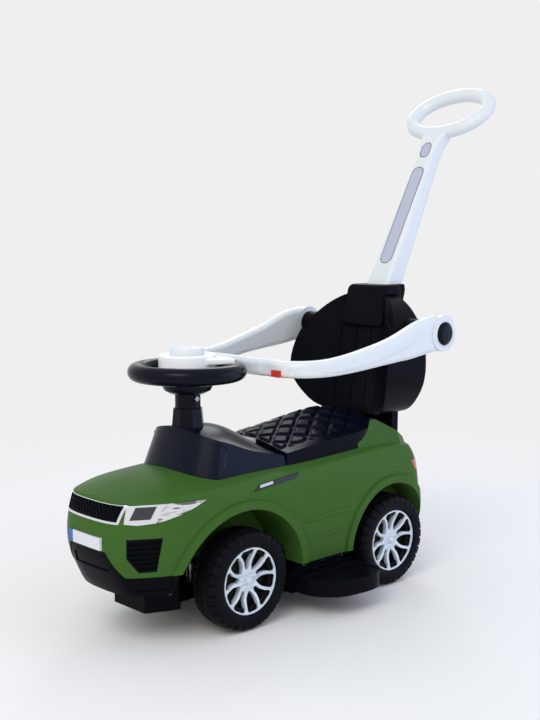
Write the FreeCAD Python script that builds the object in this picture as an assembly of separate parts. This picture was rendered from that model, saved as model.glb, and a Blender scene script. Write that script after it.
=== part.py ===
import FreeCAD, Part
import math
import os

V = FreeCAD.Vector

# All sizes are millimetres. The car faces -Y, its left side is +X, the ground is Z = 0.

# wheels and running gear
tyre_radius = 82.5
tyre_width = 55.0
wheel_x = 93.5
front_axle_y = -160.4
rear_axle_y = 182.8
rim_radius = 55.0
bead_radius = 49.0
barrel_wall = 3.5
hub_radius = 13.0
hub_inner_x = 60.0
hub_outer_x = 112.0
axle_radius = 4.0
spoke_pairs = 5
tread_lugs = 26
running_fit = 0.05
kingpin_x = 48.0
kingpin_radius = 4.0
knuckle_radius = 10.0
knuckle_height = 29.0
steer_arm = 38.0
pin_radius = 3.0
pin_play = 0.3
rod_z = 77.0
rod_thick = 6.0

# body shell
wall = 3.0
sill_z = 85.0
front_arch_y = -170.0
front_arch_z = 72.0
front_arch_radius = 128.0
rear_arch_y = 178.0
rear_arch_z = 90.0
rear_arch_radius = 99.0
flare_width = 14.0
flare_height = 3.5
front_well_x = 30.0
rear_well_x = 56.0
body_levels = [
    (80.0, 112.0, -358.0, 280.0),
    (105.0, 115.5, -372.0, 286.0),
    (140.0, 118.5, -385.0, 286.0),
    (172.0, 119.5, -389.0, 282.0),
    (204.0, 119.5, -385.0, 276.0),
    (232.0, 117.5, -376.0, 267.0),
    (252.0, 110.0, -363.0, 256.0),
    (276.0, 92.0, -340.0, 240.0),
]
top_stations = [
    (-412.0, 210.0, 16.0),
    (-376.0, 236.0, 18.0),
    (-340.0, 246.0, 22.0),
    (-300.0, 254.0, 22.0),
    (-245.0, 260.0, 22.0),
    (-150.0, 264.0, 22.0),
    (0.0, 266.0, 22.0),
    (150.0, 272.0, 22.0),
    (230.0, 266.0, 22.0),
    (310.0, 250.0, 22.0),
]
crown_at = 118.0

# steering
column_y = -188.0
shaft_radius = 7.0
sleeve_radius = 20.5
sleeve_base_z = 351.0
wheel_z = 409.0
wheel_ring_radius = 81.0
wheel_tube_radius = 14.0
pad_radius = 46.0
pad_base_z = 412.0
pad_height = 24.0
horn_radius = 27.0
horn_height = 12.0
horn_travel = 3.0

# seat and back
seat_front_y = -58.0
seat_rear_y = 188.0
seat_half = 94.0
seat_skin = 3.0
back_rear_y = 262.0
back_skin = 3.5
bucket_radius = 144.0
bucket_centre_y = 75.0
bucket_lean = 8.0
stem_half = 60.0
stem_depth = 17.0
headrest_half = 53.0
headrest_taper = 6.0

# push handle
post_foot_y = 283.0
post_foot_z = 531.0
post_angle = 62.7
post_width = 54.0
post_depth = 40.0
neck_width = 38.0
neck_depth = 30.0
post_plug = 44.0
post_wall = 4.0
ring_y = 466.0
ring_z = 850.0
ring_tilt = 44.0
ring_half_width = 84.0
ring_half_length = 54.0
ring_section = 28.0
ring_thick = 25.0

# guard
pivot_y = 238.0
pivot_z = 454.0
guard_boss_radius = 31.0
guard_boss_inner_x = 152.0
guard_boss_outer_x = 178.0
guard_thick = 24.0
guard_skin = 3.5
guard_split_x = 52.0
knob_radius = 19.5

# footrests
foot_top_z = 64.0
foot_bottom_z = 37.0
foot_outer_x = 186.0
foot_front_y = -50.0
foot_rear_y = 93.0
foot_skin = 3.0
foot_inner_x = 62.0
foot_fit = 0.1

# number plate
plate_half = 40.7
plate_height = 19.0
plate_z = 171.7


def curve(points, closed=False):
    line = Part.BSplineCurve()
    line.interpolate(Points=points, PeriodicFlag=closed)
    return line.toShape()


def ring_wire(points):
    return Part.Wire([curve(points, True)])


def polygon(points):
    return Part.makePolygon(points + points[:1])


def prism(points, vector):
    return Part.Face(polygon(points)).extrude(vector)


def box(x0, x1, y0, y1, z0, z1):
    return Part.makeBox(x1 - x0, y1 - y0, z1 - z0, V(x0, y0, z0))


def rod(radius, start, end):
    run = end - start
    return Part.makeCylinder(radius, run.Length, start, run)


def upright(radius, x, y, z0, z1):
    return Part.makeCylinder(radius, z1 - z0, V(x, y, z0))


def across(radius, x0, x1, y, z):
    return Part.makeCylinder(radius, x1 - x0, V(x0, y, z), V(1, 0, 0))


def minus(shape, tools):
    return shape.cut(list(tools))


def mirrored(shape):
    return shape.mirror(V(0, 0, 0), V(1, 0, 0))


def both(shape):
    return [shape, mirrored(shape)]


def moved(shape, x, y, z):
    copy = shape.copy()
    copy.translate(V(x, y, z))
    return copy


def turned(shape, centre, axis, angle):
    copy = shape.copy()
    copy.rotate(centre, axis, angle)
    return copy


def spun(points, centre, axis):
    face = Part.Face(polygon(points))
    return face.revolve(centre, axis, 360)


def outline_half(half, nose, tail):
    return [
        (0.0, nose),
        (0.35 * half, nose + 2.5),
        (0.57 * half, nose + 12.0),
        (0.72 * half, nose + 35.0),
        (0.85 * half, nose + 67.0),
        (0.945 * half, nose + 120.0),
        (0.985 * half, nose + 174.0),
        (half, nose + 250.0),
        (half, 0.0),
        (half, 120.0),
        (0.995 * half, tail - 80.0),
        (0.965 * half, tail - 38.0),
        (0.88 * half, tail - 16.0),
        (0.68 * half, tail - 5.0),
        (0.38 * half, tail - 1.0),
        (0.0, tail),
    ]


def inset_loop(points, inset):
    # moves each point of a closed plan loop towards its inside
    count = len(points)
    out = []
    for index in range(count):
        before = points[index - 1]
        after = points[(index + 1) % count]
        dx = after[0] - before[0]
        dy = after[1] - before[1]
        length = math.hypot(dx, dy)
        px = points[index][0] - inset * dy / length
        py = points[index][1] + inset * dx / length
        out.append((px, py))
    return out


def waterline(level, inset):
    z, half, nose, tail = level
    right = outline_half(half, nose, tail)
    left = [(-x, y) for x, y in right[1:-1]]
    loop = inset_loop(right + left[::-1], inset)
    return ring_wire([V(x, y, z) for x, y in loop])


def under_top(inset):
    sections = []
    for y, centre, drop in top_stations:
        crest = centre - inset
        steps = [-1.3, -0.9, -0.45, 0.0, 0.45, 0.9, 1.3]
        line = [V(s * crown_at, y, crest - drop * s * s) for s in steps]
        low_left = V(line[0].x, y, 0)
        low_right = V(line[-1].x, y, 0)
        edges = [
            curve(line),
            Part.makeLine(line[-1], low_right),
            Part.makeLine(low_right, low_left),
            Part.makeLine(low_left, line[0]),
        ]
        sections.append(Part.Wire(edges))
    return Part.makeLoft(sections, True)


forms = {}


def body_form(inset):
    # the outside of the body moved inwards by the inset, made once for each inset
    if inset not in forms:
        hull = Part.makeLoft([waterline(level, inset) for level in body_levels], True)
        forms[inset] = hull.common(under_top(inset))
    return forms[inset]


def band(zone, high, low):
    # the part of a zone that lies between two insets of the body form
    return zone.common(body_form(high)).cut(body_form(low))


def fairing(inset):
    # wedge behind the seat that the backrest stands in
    lift = inset
    low = [(104, 112), (104, 226), (84, 258), (-84, 258), (-104, 226), (-104, 112)]
    high = [(82, 112), (82, 214), (70, 236), (-70, 236), (-82, 214), (-82, 112)]
    base = polygon([V(x, y, 232) for x, y in inset_loop(low, inset)])
    crest = polygon([V(x, y, 306) for x, y in inset_loop(high, inset)])
    wedge = Part.makeLoft([base, crest], True, True)
    profile = [
        V(-130, 60, 300 - lift),
        V(-130, 170, 300 - lift),
        V(-130, 236, 266 - lift),
        V(-130, 290, 236 - lift),
        V(-130, 290, 200),
        V(-130, 60, 200),
    ]
    return wedge.common(prism(profile, V(260, 0, 0)))


def seat_plan(inset, z):
    half = seat_half - inset
    rear = seat_rear_y - inset
    front = seat_front_y + inset
    corner = [
        V(half, front, z),
        V(half, 100, z),
    ]
    bend = curve([
        V(half, 100, z),
        V(half - 3, 130, z),
        V(half - 16, rear - 26, z),
        V(half - 46, rear - 5, z),
        V(0, rear, z),
        V(-half + 46, rear - 5, z),
        V(-half + 16, rear - 26, z),
        V(-half + 3, 130, z),
        V(-half, 100, z),
    ])
    edges = [
        Part.makeLine(corner[0], corner[1]),
        bend,
        Part.makeLine(V(-half, 100, z), V(-half, front, z)),
        Part.makeLine(V(-half, front, z), V(half, front, z)),
    ]
    return Part.Face(Part.Wire(edges))


def crowned(stations, inset, reach):
    # solid below a crowned surface given by rows of y, centre height and edge height
    sections = []
    for y, centre, edge in stations:
        line = [
            V(-1.25 * reach, y, edge - 5 - inset),
            V(-0.85 * reach, y, edge + 1 - inset),
            V(0, y, centre - inset),
            V(0.85 * reach, y, edge + 1 - inset),
            V(1.25 * reach, y, edge - 5 - inset),
        ]
        low_left = V(line[0].x, y, 100)
        low_right = V(line[-1].x, y, 100)
        sections.append(Part.Wire([
            curve(line),
            Part.makeLine(line[-1], low_right),
            Part.makeLine(low_right, low_left),
            Part.makeLine(low_left, line[0]),
        ]))
    return Part.makeLoft(sections, True)


parts = {}

proud_by = -flare_height
edge_by = -1.0
inlay_by = 1.2
back_by = wall + 2.0
outer = body_form(0.0)
inner = body_form(wall)

# body shell: two offset forms make an even moulded wall, open underneath
seat_gap = 0.4
seat_clear = seat_plan(-seat_gap, 200).extrude(V(0, 0, 140))
fairing_out = fairing(0.0).cut(seat_clear)
fairing_in = fairing(wall).cut(seat_plan(-seat_gap - wall, 200).extrude(V(0, 0, 140)))
left_side = box(0, 200, -420, 420, 0, 400)
half_shell = outer.fuse(fairing_out).cut(inner.fuse(fairing_in)).common(left_side)

front_hole = across(front_arch_radius, front_well_x + wall, 160, front_arch_y, front_arch_z)
rear_hole = across(rear_arch_radius, rear_well_x + wall, 160, rear_arch_y, rear_arch_z)
front_liner = across(front_arch_radius + wall, front_well_x, 130, front_arch_y, front_arch_z)
rear_liner = across(rear_arch_radius + wall, rear_well_x, 130, rear_arch_y, rear_arch_z)
low_gap = box(-75, 75, -330, 300, 0, 112)
front_well = front_liner
front_liner = front_liner.common(outer).cut(front_hole).cut(low_gap)
rear_liner = rear_liner.common(outer).cut(rear_hole).cut(low_gap)

flares = []
for y, z, radius in (
    (front_arch_y, front_arch_z, front_arch_radius),
    (rear_arch_y, rear_arch_z, rear_arch_radius),
):
    ring = across(radius + flare_width, 90, 140, y, z).cut(across(radius, 80, 150, y, z))
    flares.append(band(ring, proud_by, inlay_by))

door_ribs = []
for low, length in ((122.0, 96.0), (156.0, 108.0)):
    rib = prism(
        [
            V(100, -44, low),
            V(100, -44 + length, low + 3),
            V(100, -46 + length, low + 11),
            V(100, -40, low + 7),
        ],
        V(40, 0, 0),
    )
    door_ribs.append(band(rib, edge_by, inlay_by))

sill_flange = box(97, 130, -40, 70, sill_z, sill_z + wall).common(outer)
one_side = [front_liner, rear_liner, sill_flange] + flares + door_ribs
half_shell = minus(half_shell, [front_hole, rear_hole]).fuse(one_side)

# the lower bumper takes the lower front of the form
bumper_view = [
    (-140, 118), (-68, 121), (-46, 160), (46, 160), (68, 121), (140, 118), (140, 60), (-140, 60),
]
bumper_zone = prism([V(x, -420, z) for x, z in bumper_view], V(0, 140, 0))
bumper_low_z = 88.0
bumper_open = prism(
    [V(x, -420, max(z, bumper_low_z)) for x, z in bumper_view], V(0, 140, 0),
)
window_by = wall + 0.5
bumper_back = minus(band(bumper_open, window_by, back_by), both(front_well))
bumper = minus(band(bumper_open, inlay_by, window_by).fuse(bumper_back), both(front_hole))
slot_view = [(-44, 128), (-38, 147), (38, 147), (44, 128)]
side_slot_view = [(70, 96), (74, 110), (100, 110), (96, 96)]
slot = prism([V(x, -420, z) for x, z in slot_view], V(0, 100, 0))
side_slot = prism([V(x, -420, z) for x, z in side_slot_view], V(0, 140, 0))
slots = [slot] + both(side_slot)
parts["front_bumper"] = minus(bumper, [band(s, 0.0, wall) for s in slots])

# grille, lamps and vents follow the form of the shell
grille_view = [(-72, 232), (72, 232), (66.6, 204), (-66.6, 204)]
mesh_view = [(-68.5, 231), (68.5, 231), (63.6, 207.4), (-63.6, 207.4)]


def front_zone(view):
    return prism([V(x, -420, z) for x, z in view], V(0, 90, 0))


grille_zone = front_zone(grille_view)
mesh_zone = front_zone(mesh_view)
parts["grille_surround"] = band(grille_zone, edge_by, back_by).cut(mesh_zone)
mesh_plate = band(mesh_zone, inlay_by, wall)
mesh_back = band(mesh_zone, wall, back_by)
cells = []
for row in range(3):
    for column in range(-8, 9):
        x = 8.6 * column + 4.3 * (row % 2)
        z = 212.0 + 7.0 * row
        if abs(x) < 63 + 0.2 * (z - 207):
            cells.append(front_zone([(x - 3.4, z), (x, z + 5.6), (x + 3.4, z), (x, z - 5.6)]))
parts["grille_mesh"] = mesh_plate.cut(Part.makeCompound(cells)).fuse(mesh_back)

diag = math.sqrt(0.5)


def corner_zone(view, reach=330):
    # window drawn on the upright plane that faces the front left corner
    points = [V((u + 400) * diag, (u - 400) * diag, z) for u, z in view]
    return prism(points, V(-reach * diag, reach * diag, 0))


lamp_view = [
    (-210, 205), (-206, 231), (-180, 231.5), (-140, 231), (-93, 229), (-110, 219.5), (-130, 212),
    (-158, 204.5), (-190, 202.5),
]
fog_view = [(-206, 182), (-154, 181), (-164, 129), (-190, 129), (-207, 153)]
fog_inside = [(-203, 179), (-157, 178), (-166, 132), (-188, 132), (-204, 153)]
lamp_zone = corner_zone(lamp_view, 160)
fog_zone = corner_zone(fog_view)
lamp = band(lamp_zone, edge_by, wall).cut(grille_zone)
fog = band(fog_zone, 0.0, back_by)
gaps = []
for step in range(6):
    z = 133 + 7.8 * step
    gaps.append(corner_zone([(-215, z), (-145, z), (-145, z + 5.2), (-215, z + 5.2)]))
fog_window = band(corner_zone(fog_inside), edge_by, wall)
fog = fog.cut(Part.makeCompound(gaps).common(fog_window))

vent_view = [(-152, 227), (-62, 235), (-50, 243), (-140, 235.5)]
vent_zone = prism([V(90, y, z) for y, z in vent_view], V(50, 0, 0))
tail_view = [(82, 222), (134, 224), (134, 206), (92, 204)]
tail_points = [V((400 - u) * diag, (400 + u) * diag, z) for u, z in tail_view]
tail_window = prism(tail_points, V(-165 * diag, -165 * diag, 0))
left_inlays = {
    "headlamp": lamp,
    "fog_grille": fog,
    "side_vent": band(vent_zone, edge_by, wall),
    "tail_lamp": band(tail_window, edge_by, wall),
}
for name, shape in left_inlays.items():
    parts[name + "_left"] = shape
    parts[name + "_right"] = mirrored(shape)

windows = [lamp_zone, vent_zone, tail_window, band(fog_zone, proud_by - 1, window_by)]
windows.append(band(grille_zone, proud_by, window_by))
windows.append(band(bumper_zone, proud_by - 1, window_by))
ground_cut = box(-200, 200, -420, 420, 0, sill_z)
half_shell = minus(half_shell, windows + [ground_cut])
shell = half_shell.fuse(mirrored(half_shell))

plate_low = plate_z - plate_height / 2
plate_block = box(-plate_half, plate_half, -391.0, -380.0, plate_low, plate_low + plate_height)
parts["number_plate"] = plate_block.cut(outer)

# wheels are drawn about the X axis with the outer face towards +X
def tyre():
    half = tyre_width / 2
    seat = half - 5.5
    side = [(seat, rim_radius), (half - 1.4, rim_radius + 2.5), (half, 65), (half - 0.8, 74)]
    side += [(half - 4.5, 79.6), (half - 14, tyre_radius - 0.4)]
    line = [V(x, 0, r) for x, r in side] + [V(0, 0, tyre_radius)]
    line += [V(-x, 0, r) for x, r in reversed(side)]
    edges = [
        curve(line),
        Part.makeLine(V(-seat, 0, rim_radius), V(-seat, 0, bead_radius)),
        Part.makeLine(V(-seat, 0, bead_radius), V(seat, 0, bead_radius)),
        Part.makeLine(V(seat, 0, bead_radius), V(seat, 0, rim_radius)),
    ]
    body = Part.Face(Part.Wire(edges)).revolve(V(0, 0, 0), V(1, 0, 0), 360)
    cuts = []
    pitch = 360.0 / tread_lugs
    for index in range(tread_lugs):
        notch = box(half - 11, half + 3, -2.4, 2.4, 75, 90)
        cuts.append(turned(notch, V(0, 0, 0), V(1, 0, 0), pitch * index))
        far = box(-half - 3, -half + 11, -2.4, 2.4, 75, 90)
        cuts.append(turned(far, V(0, 0, 0), V(1, 0, 0), pitch * (index + 0.5)))
    for x in (-9.0, 9.0):
        groove = across(tyre_radius + 3, x - 1.3, x + 1.3, 0, 0)
        cuts.append(groove.cut(across(tyre_radius - 2.6, x - 2, x + 2, 0, 0)))
    cavity = [(15, bead_radius - 2), (15, 60), (18, 66), (17, 69.5), (8, 72), (0, 72.5)]
    room = cavity + [(-x, r) for x, r in reversed(cavity[:-1])]
    cuts.append(spun([V(x, 0, r) for x, r in room], V(0, 0, 0), V(1, 0, 0)))
    return body.cut(Part.makeCompound(cuts))


def polar(radius, angle, x):
    turn = math.radians(angle)
    return V(x, radius * math.sin(turn), radius * math.cos(turn))


def petal(rows, centre):
    right = [polar(r, centre + a, 0) for a, r in rows]
    left = [polar(r, centre - a, 0) for a, r in rows[1:-1]]
    loop = Part.Wire([curve(right + left[::-1], True)])
    return Part.Face(loop).extrude(V(30, 0, 0))


def rim():
    bore = axle_radius + running_fit
    half = tyre_width / 2
    lip = half - 5.5
    hub_in = hub_inner_x - wheel_x
    hub_out = hub_outer_x - wheel_x
    barrel = bead_radius - barrel_wall
    section = [
        (hub_in, bore), (hub_out, bore), (hub_out, hub_radius), (hub_out - 1.5, hub_radius + 3),
        (half - 5.5, barrel), (half - 2.5, barrel + 1), (half - 2.5, rim_radius), (lip, rim_radius),
        (lip, bead_radius), (-lip, bead_radius), (-lip, rim_radius), (-half + 2.5, rim_radius),
        (-half + 2.5, barrel), (half - 14, barrel), (hub_out - 9, hub_radius + 3),
        (hub_out - 9.5, hub_radius), (hub_in, hub_radius),
    ]
    body = spun([V(x, 0, r) for x, r in section], V(0, 0, 0), V(1, 0, 0))
    wide = [(0, 21), (7.5, 23), (13.5, 31), (18.5, 40), (13, 44), (0, 44.6)]
    narrow = [(0, 25), (3.4, 27.5), (6.4, 36), (6.8, 41.5), (3.4, 44.2), (0, 44.6)]
    pitch = 360.0 / spoke_pairs
    cuts = []
    bolts = []
    for index in range(spoke_pairs):
        cuts.append(petal(wide, pitch * index))
        cuts.append(petal(narrow, pitch * (index + 0.5)))
        spot = polar(9.2, pitch * index, hub_out - 0.5)
        bolts.append(rod(1.5, spot, spot + V(1.6, 0, 0)))
    return body.cut(Part.makeCompound(cuts)).fuse(bolts)


def cap():
    out = hub_outer_x - wheel_x
    shell_cap = spun(
        [V(out + 0.1, 0, 0), V(out + 0.1, 0, 6.5), V(out + 3, 0, 6), V(out + 4.6, 0, 4), V(out + 5, 0, 0)],
        V(0, 0, 0),
        V(1, 0, 0),
    )
    return shell_cap.cut(across(axle_radius, 0, axle_end_x - wheel_x, 0, 0))


axle_end_x = hub_outer_x + 2.0
wheel_pieces = {"tyre": tyre(), "rim": rim()}
wheel_cap = cap()
caps = {}
for end, y in (("front", front_axle_y), ("rear", rear_axle_y)):
    for kind, shape in wheel_pieces.items():
        placed = moved(shape, wheel_x, y, tyre_radius)
        parts[kind + "_" + end + "_left"] = placed
        parts[kind + "_" + end + "_right"] = mirrored(placed)
    caps[end] = moved(wheel_cap, wheel_x, y, tyre_radius)
parts["axle_cap_front_left"] = caps["front"]
parts["axle_cap_front_right"] = mirrored(caps["front"])
parts["rear_axle_caps"] = Part.makeCompound(both(caps["rear"]))
parts["rear_axle"] = across(axle_radius, -axle_end_x, axle_end_x, rear_axle_y, tyre_radius)

# chassis: nose, neck with the kingpin posts, footrest tunnel and rear axle box
floor_z = 45.0
floor_thick = 4.0
lug_low_z = 58.0
lug_thick = 8.0
lug_gap = knuckle_height + 2 * running_fit
lug_high_z = lug_low_z + lug_thick + lug_gap
tunnel_floor_z = foot_bottom_z - foot_fit
tunnel_roof_z = foot_top_z + foot_fit
neck_half = 33.0
rear_half = hub_inner_x - 0.5


def plan(points, z0, z1):
    loop = points + [(-x, y) for x, y in reversed(points)]
    return prism([V(x, y, z0) for x, y in loop], V(0, 0, z1 - z0))


# the nose ends ahead of the circle that the front tyres sweep when they steer
nose_plan = [(40, -311), (60, -262), (60, -256), (neck_half, -250)]
nose_inside = [(37.8, -308), (57, -261), (57, -259), (neck_half - 3, -253)]
nose = plan(nose_plan, floor_z, 100).cut(plan(nose_inside, floor_z + floor_thick, 120))
neck = plan([(neck_half, -253), (neck_half, -52)], floor_z, 60)
neck = neck.cut(plan([(neck_half - 3, -254), (neck_half - 3, -51)], floor_z + floor_thick, 80))
bearing = upright(shaft_radius + 6, 0, column_y, floor_z, 63)
tunnel_low_z = tunnel_floor_z - floor_thick
tunnel_high_z = tunnel_roof_z + floor_thick
tunnel_front = foot_front_y - foot_fit
tunnel_rear = foot_rear_y + foot_fit
tunnel = box(-100, 100, tunnel_front - wall, tunnel_rear + wall, tunnel_low_z, tunnel_high_z)
tunnel = tunnel.cut(box(-120, 120, tunnel_front, tunnel_rear, tunnel_floor_z, tunnel_roof_z))
tunnel = tunnel.fuse(box(-2, 2, tunnel_front, tunnel_rear, tunnel_low_z, tunnel_high_z))
ledge = box(94, 98, -40, 70, tunnel_roof_z, sill_z).fuse(box(94, 112, -40, 70, sill_z - 4, sill_z))
rear_box = box(-rear_half, rear_half, tunnel_rear, 258, floor_z, 104)
rear_box = rear_box.cut(box(-rear_half + 4, rear_half - 4, tunnel_rear - 1, 254, floor_z + 4, 120))
rear_box = rear_box.cut(across(axle_radius, -80, 80, rear_axle_y, tyre_radius))
pillar = box(neck_half - 9, neck_half, front_axle_y - 9, front_axle_y + 9, floor_z, lug_high_z + lug_thick)
lugs = []
for z in (lug_low_z, lug_high_z):
    lugs.append(box(neck_half - 9, kingpin_x, front_axle_y - 9, front_axle_y + 9, z, z + lug_thick))
    lugs.append(upright(9, kingpin_x, front_axle_y, z, z + lug_thick))
post = pillar.fuse(lugs)
chassis = nose.fuse([neck, bearing, tunnel, rear_box] + both(ledge) + both(post))
pin_low_z = lug_low_z - 2
pin_high_z = lug_high_z + lug_thick + 2
kingpin = upright(kingpin_radius, kingpin_x, front_axle_y, pin_low_z, pin_high_z)
chassis = chassis.cut(both(kingpin) + [upright(shaft_radius + running_fit, 0, column_y, 40, 70)])
parts["kingpins"] = Part.makeCompound(both(kingpin))

# screws hold the chassis ledge to the flange of the shell
screw_radius = 2.0
screw_head = 4.0
screws = []
holes = []
for y in (-30.0, 15.0, 60.0):
    shank = upright(screw_radius, 105, y, sill_z - 4, sill_z + wall)
    head = upright(screw_head, 105, y, sill_z - 6.5, sill_z - 4)
    screws += both(shank.fuse(head))
    holes += both(shank)
parts["floor_screws"] = Part.makeCompound(screws)
shell = shell.cut(holes)
parts["chassis_pan"] = chassis.cut(holes)

# steering knuckles, stub axles and linkage
knuckle_low = lug_low_z + lug_thick + running_fit
arm_y = front_axle_y + steer_arm
knuckle = upright(knuckle_radius, kingpin_x, front_axle_y, knuckle_low, knuckle_low + knuckle_height)
arm_top = rod_z - 0.4
arm = box(kingpin_x - 6, kingpin_x + 6, front_axle_y, arm_y, knuckle_low, arm_top)
arm = arm.fuse(upright(6, kingpin_x, arm_y, knuckle_low, arm_top))
boss = across(8, kingpin_x, hub_inner_x - 0.5, front_axle_y, tyre_radius)
stub = across(axle_radius, kingpin_x + kingpin_radius + 1, axle_end_x, front_axle_y, tyre_radius)
pin_hole = upright(pin_radius + pin_play, kingpin_x, arm_y, knuckle_low - 5, arm_top + 5)
kingpin_hole = upright(kingpin_radius + running_fit, kingpin_x, front_axle_y, 50, 120)
knuckle = knuckle.fuse([arm, boss]).cut([kingpin_hole, stub, pin_hole])
parts["knuckle_left"] = knuckle
parts["knuckle_right"] = mirrored(knuckle)
parts["stub_axle_left"] = stub
parts["stub_axle_right"] = mirrored(stub)

crank_z = rod_z + rod_thick + 0.4
crank_thick = 6.0
crank_pin_y = column_y + steer_arm
crank = box(-7, 7, column_y, crank_pin_y, crank_z, crank_z + crank_thick)
crank = crank.fuse([
    upright(14, 0, column_y, crank_z, crank_z + crank_thick + 6),
    upright(7, 0, crank_pin_y, crank_z, crank_z + crank_thick),
    upright(pin_radius, 0, crank_pin_y, rod_z - 1, crank_z + crank_thick),
])
shaft_top_z = pad_base_z - 6.0
shaft = upright(shaft_radius, 0, column_y, floor_z, shaft_top_z)
parts["steering_crank"] = crank.cut(shaft)
parts["steering_shaft"] = shaft
bar = box(-kingpin_x, kingpin_x, arm_y - 5, arm_y + 5, rod_z, rod_z + rod_thick)
tongue = box(-6, 6, crank_pin_y, arm_y, rod_z, rod_z + rod_thick)
tie = bar.fuse([tongue, upright(6, 0, crank_pin_y, rod_z, rod_z + rod_thick)])
for side in (-1, 1):
    tie = tie.fuse(upright(6, side * kingpin_x, arm_y, rod_z, rod_z + rod_thick))
    tie = tie.fuse(upright(pin_radius, side * kingpin_x, arm_y, knuckle_low - 1, rod_z + 1))
parts["tie_rod"] = tie.cut(upright(pin_radius + running_fit, 0, crank_pin_y, rod_z - 5, rod_z + 20))

# dashboard cowl, boot and steering wheel
dash_rear_y = seat_front_y - 0.5
dash_low = (236.0, 95.0, -206.0, -248.0)
dash_high = (330.0, 76.0, -184.0, -214.0)
dash_stations = [
    (-262, 328, 314), (-215, 323, 311), (-180, 323, 305), (-148, 321, 294), (-105, 306, 281),
    (-80, 290, 275), (-50, 264, 264),
]


def dash_form(inset):
    wires = []
    for z, half, corner, nose_y in (dash_low, dash_high):
        half -= inset
        corner += inset
        nose_y += inset
        rear = dash_rear_y - inset
        front = curve([
            V(half, corner, z), V(0.62 * half, nose_y + 9, z), V(0, nose_y, z),
            V(-0.62 * half, nose_y + 9, z), V(-half, corner, z),
        ])
        wires.append(Part.Wire([
            front,
            Part.makeLine(V(-half, corner, z), V(-half - 1, rear, z)),
            Part.makeLine(V(-half - 1, rear, z), V(half + 1, rear, z)),
            Part.makeLine(V(half + 1, rear, z), V(half, corner, z)),
        ]))
    return Part.makeLoft(wires, True, True).common(crowned(dash_stations, inset, 85))


dash_solid = dash_form(0.0).cut(outer)
dash = dash_solid.cut(dash_form(wall))
parts["dashboard_cowl"] = dash.cut(upright(shaft_radius + 2, 0, column_y, 200, 400))
shell = shell.cut(upright(shaft_radius + 2, 0, column_y, 200, 300))
parts["body_shell"] = shell
insert_profile = [V(-19, -84, 262), V(-19, -80, 289), V(-19, dash_rear_y, 286), V(-19, dash_rear_y, 256)]
parts["console_insert"] = prism(insert_profile, V(38, 0, 0)).cut(dash_form(0.0))


def octagon(radius, z):
    points = []
    for index in range(8):
        turn = math.radians(45 * index + 22.5)
        points.append(V(radius * math.cos(turn), column_y + radius * math.sin(turn), z))
    return polygon(points)


boot = Part.makeLoft([octagon(28.5, 306), octagon(24.0, sleeve_base_z - 0.3)], True, True)
boot = boot.cut(dash_form(0.0))
parts["column_boot"] = boot.cut(upright(shaft_radius + running_fit, 0, column_y, 290, 400))
bowl_z = 386.0
sleeve = upright(sleeve_radius, 0, column_y, sleeve_base_z, bowl_z).cut(shaft)
screw_z = 367.0
screw = across(2.5, shaft_radius + 3, sleeve_radius + 1, column_y, screw_z)
parts["column_sleeve"] = sleeve.cut(screw)
parts["column_screw"] = screw.fuse(across(4.2, sleeve_radius, sleeve_radius + 4, column_y, screw_z))
grip = Part.makeTorus(wheel_ring_radius, wheel_tube_radius, V(0, column_y, wheel_z))
bowl = spun(
    [
        V(0, column_y, bowl_z), V(24, column_y, bowl_z), V(36, column_y, bowl_z + 5),
        V(43, column_y, bowl_z + 12),
        V(43, column_y, pad_base_z), V(0, column_y, pad_base_z),
    ],
    V(0, column_y, 0),
    V(0, 0, 1),
)
spokes = []
for angle in (0, 90, 180):
    spoke = box(30, wheel_ring_radius, -13, 13, wheel_z - 6, wheel_z + 3)
    spokes.append(moved(turned(spoke, V(0, 0, 0), V(0, 0, 1), angle), 0, column_y, 0))
parts["steering_wheel"] = grip.fuse([bowl] + spokes).cut(shaft)
pad_top = pad_base_z + pad_height
pad = upright(pad_radius, 0, column_y, pad_base_z, pad_top)
wing_plan = [(-44, -8), (-63, 46), (-30, 56), (30, 56), (63, 46), (44, -8)]
wing = prism([V(x, column_y + y, pad_base_z + 10) for x, y in wing_plan], V(0, 0, 9))
pocket = upright(horn_radius + running_fit, 0, column_y, pad_top - 8, pad_top + 1)
parts["wheel_pad"] = pad.fuse(wing).cut(pocket)
horn_low = pad_top - 8 + horn_travel + 0.5
horn_top = pad_top + horn_height
horn = upright(horn_radius, 0, column_y, horn_low, horn_top)
horn_rim = [e for e in horn.Edges if abs(e.BoundBox.ZMin - horn_top) < 0.01 and e.Length > 50]
parts["horn_button"] = horn.makeFillet(4.5, horn_rim)

# seat
seat_stations = [
    (-80, 281, 271), (-30, 293, 276), (30, 306, 282), (90, 316, 287), (140, 316, 289), (200, 302, 289),
]


def seat_form(inset):
    block = seat_plan(inset, 200).extrude(V(0, 0, 150))
    return block.common(crowned(seat_stations, inset, seat_half))


parts["seat"] = seat_form(0.0).cut([outer, seat_form(seat_skin)])

# backrest: shield outline, curved rim and a bucket hollow
shield = [
    (0, 521), (40, 516), (70, 502), (93, 480), (110, 452), (118, 420), (120, 388), (115, 357), (101, 330),
    (82, 310), (60, 302), (30, 300),
]
rim_line = [(198, 296), (186, 304), (163, 335), (149, 380), (156, 425), (178, 470), (208, 508), (226, 530)]


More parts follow.
